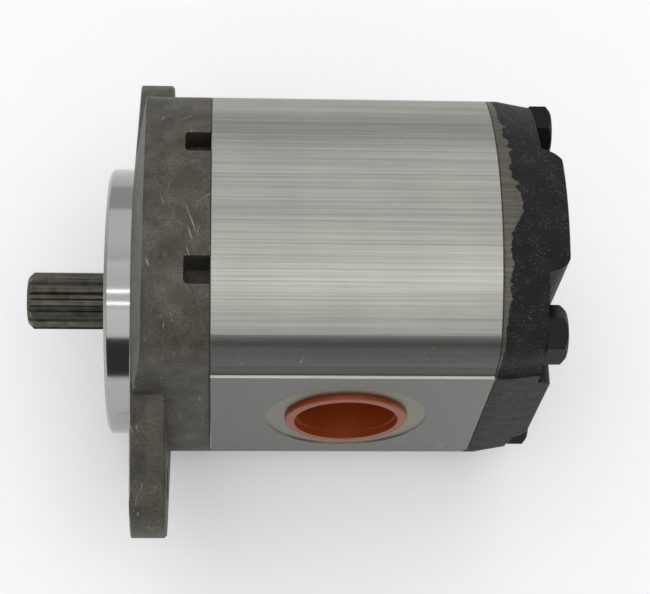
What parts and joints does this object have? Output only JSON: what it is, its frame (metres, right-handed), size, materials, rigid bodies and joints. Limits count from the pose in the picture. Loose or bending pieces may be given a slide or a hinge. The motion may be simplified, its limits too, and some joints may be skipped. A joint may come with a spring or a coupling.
{
  "type": "hydraulic gear pump",
  "caption": "External gear pump with a two-bolt flange and round pilot, splined drive shaft, aluminium body, cast rear cover and plugged side ports.",
  "frame": {"origin": "centre of the pilot spigot on the mounting face", "axes": "+X along the drive shaft towards the rear cover (the shaft end points to -X), +Z from the drive gear to the driven gear, -Y out of the inlet port"},
  "size_m": [0.1932, 0.1866, 0.1464],
  "materials": {
    "phosphated_iron": "dark brown-grey phosphated casting, machined pilot",
    "extruded_aluminium": "extruded, milled port faces",
    "black_painted_iron": "rough sand casting, thin black paint",
    "gear_steel": "case-hardened, ground, dark",
    "die_cast_aluminium": "machined die casting",
    "bush_bronze": "bronze-backed sleeve",
    "seal_rubber": "nitrile rubber",
    "backup_nylon": "nylon",
    "seal_case_steel": "pressed sheet steel",
    "spring_steel": "oiled spring steel",
    "black_bolt_steel": "black oxide",
    "dowel_steel": "ground",
    "orange_plastic": "moulded polyethylene"
  },
  "bodies": {
    "housing": {"mounting_flange": "phosphated_iron", "pump_body": "extruded_aluminium", "rear_cover": "black_painted_iron", "front_bearing_block": "die_cast_aluminium", "rear_bearing_block": "die_cast_aluminium", "front_drive_bush": "bush_bronze", "front_driven_bush": "bush_bronze", "rear_drive_bush": "bush_bronze", "rear_driven_bush": "bush_bronze", "front_pressure_seal": "seal_rubber", "rear_pressure_seal": "seal_rubber", "front_backup_ring": "backup_nylon", "rear_backup_ring": "backup_nylon", "front_body_seal": "seal_rubber", "rear_body_seal": "seal_rubber", "shaft_seal_case": "seal_case_steel", "shaft_seal_lip": "seal_rubber", "garter_spring": "spring_steel", "seal_retaining_ring": "spring_steel", "tie_bolts": "black_bolt_steel", "front_dowels": "dowel_steel", "rear_dowels": "dowel_steel"},
    "drive_shaft": {"drive_gear_shaft": "gear_steel"},
    "driven_gear": {"driven_gear_shaft": "gear_steel"},
    "inlet_plug": {"inlet_port_plug": "orange_plastic"},
    "outlet_plug": {"outlet_port_plug": "orange_plastic"}
  },
  "joints": [
    {"name": "drive_spin", "type": "hinge", "parent": "housing", "child": "drive_shaft", "pos_m": [0.0781, 0, 0], "axis": [1, 0, 0], "continuous": true},
    {"name": "driven_spin", "type": "hinge", "parent": "housing", "child": "driven_gear", "pos_m": [0.0781, 0, 0.0348], "axis": [1, 0, 0], "continuous": true},
    {"name": "inlet_plug_pull", "type": "slide", "parent": "housing", "child": "inlet_plug", "axis": [0, -1, 0], "range_m": [0, 0.04]},
    {"name": "outlet_plug_pull", "type": "slide", "parent": "housing", "child": "outlet_plug", "axis": [0, 1, 0], "range_m": [0, 0.04]}
  ],
  "couplings": [
    {"joint": "driven_spin", "follows": "drive_spin", "ratio": -1}
  ]
}
